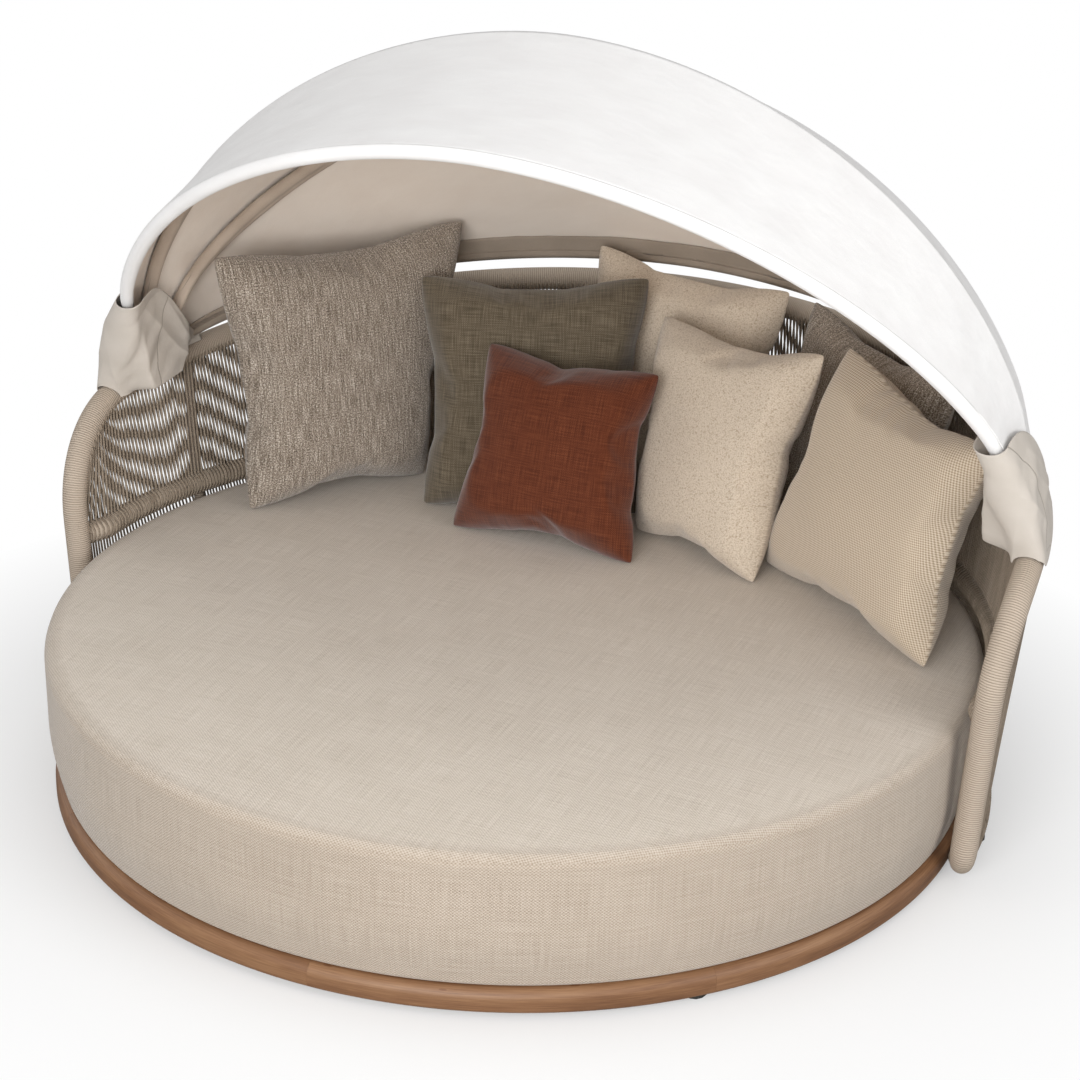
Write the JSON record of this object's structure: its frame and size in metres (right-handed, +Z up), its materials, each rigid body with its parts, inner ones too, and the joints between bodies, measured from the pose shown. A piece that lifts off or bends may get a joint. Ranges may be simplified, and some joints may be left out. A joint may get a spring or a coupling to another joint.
{
  "type": "outdoor daybed",
  "caption": "Round outdoor daybed with a rope-wrapped back frame, a teak base ring, a round mattress, scatter pillows and a folding cloth canopy on hoops.",
  "frame": {"origin": "on the floor under the centre of the mattress, at the middle of the centre foot's underside", "axes": "+Z up, +Y towards the back rest, +X to the right seen from the front"},
  "size_m": [2.2082, 2.1132, 1.5821],
  "materials": {
    "teak": "oiled",
    "alloy": "powder coated",
    "steel": "brushed",
    "glide": "matte",
    "board": "matte",
    "rope": "braided",
    "mattress": "fine basket weave",
    "canopy": "plain weave",
    "tweed": "tweed",
    "olive": "plain weave",
    "rust": "coarse weave",
    "boucle": "boucle",
    "weave": "basket weave"
  },
  "bodies": {
    "bed": {"teak_ring_1": "teak", "teak_ring_2": "teak", "teak_ring_3": "teak", "teak_ring_4": "teak", "teak_ring_5": "teak", "teak_ring_6": "teak", "teak_ring_7": "teak", "teak_ring_8": "teak", "ring_glide_1": "glide", "ring_glide_2": "glide", "ring_glide_3": "glide", "ring_glide_4": "glide", "frame_glide_1": "glide", "frame_glide_2": "glide", "frame_glide_3": "glide", "frame_glide_4": "glide", "centre_foot": "glide", "subframe_ring": "alloy", "cross_beam": "alloy", "half_beam_front": "alloy", "half_beam_back": "alloy", "frame_strap_1": "alloy", "frame_strap_2": "alloy", "frame_strap_3": "alloy", "deck_board_right": "board", "deck_board_left": "board", "mattress": "mattress", "top_rail": "rope", "post_left": "rope", "post_right": "rope", "bottom_rail": "rope", "mid_rail": "rope", "strut_1": "rope", "strut_2": "rope", "strut_3": "rope", "strut_4": "rope", "strut_5": "rope", "rope_net_inner": "rope", "rope_net_outer": "rope", "rear_hoop": "alloy", "pivot_bracket_right": "steel", "pivot_bracket_left": "steel", "pivot_bolt_right": "steel", "pivot_bolt_left": "steel", "canopy_panel_rear": "canopy", "side_pocket_right": "canopy", "side_pocket_left": "canopy", "pillow_tweed_left": "tweed", "pillow_olive": "olive", "pillow_rust": "rust", "pillow_boucle_front": "boucle", "pillow_weave_right": "weave", "pillow_boucle_back": "boucle", "pillow_tweed_right": "tweed"},
    "lower_hoop": {"lower_hoop": "alloy", "canopy_panel_middle": "canopy"},
    "upper_hoop": {"upper_hoop": "alloy", "canopy_panel_front": "canopy"},
    "front_hoop": {"front_hoop": "alloy"}
  },
  "joints": [
    {"name": "lower_hoop_fold", "type": "hinge", "parent": "bed", "child": "lower_hoop", "pos_m": [0, 0.172, 0.69745], "axis": [1, 0, 0], "range_deg": [-36.5, 0], "deforming": ["canopy_panel_rear", "side_pocket_right", "side_pocket_left"]},
    {"name": "upper_hoop_fold", "type": "hinge", "parent": "lower_hoop", "child": "upper_hoop", "pos_m": [0, 0.172, 0.69745], "axis": [1, 0, 0], "range_deg": [-27, 0], "deforming": ["canopy_panel_middle"]},
    {"name": "front_hoop_fold", "type": "hinge", "parent": "upper_hoop", "child": "front_hoop", "pos_m": [0, 0.172, 0.69745], "axis": [1, 0, 0], "range_deg": [-23.5, 0], "deforming": ["canopy_panel_front"]}
  ],
  "couplings": [
    {"joint": "upper_hoop_fold", "follows": "lower_hoop_fold", "ratio": 0.73973},
    {"joint": "front_hoop_fold", "follows": "lower_hoop_fold", "ratio": 0.64384}
  ]
}
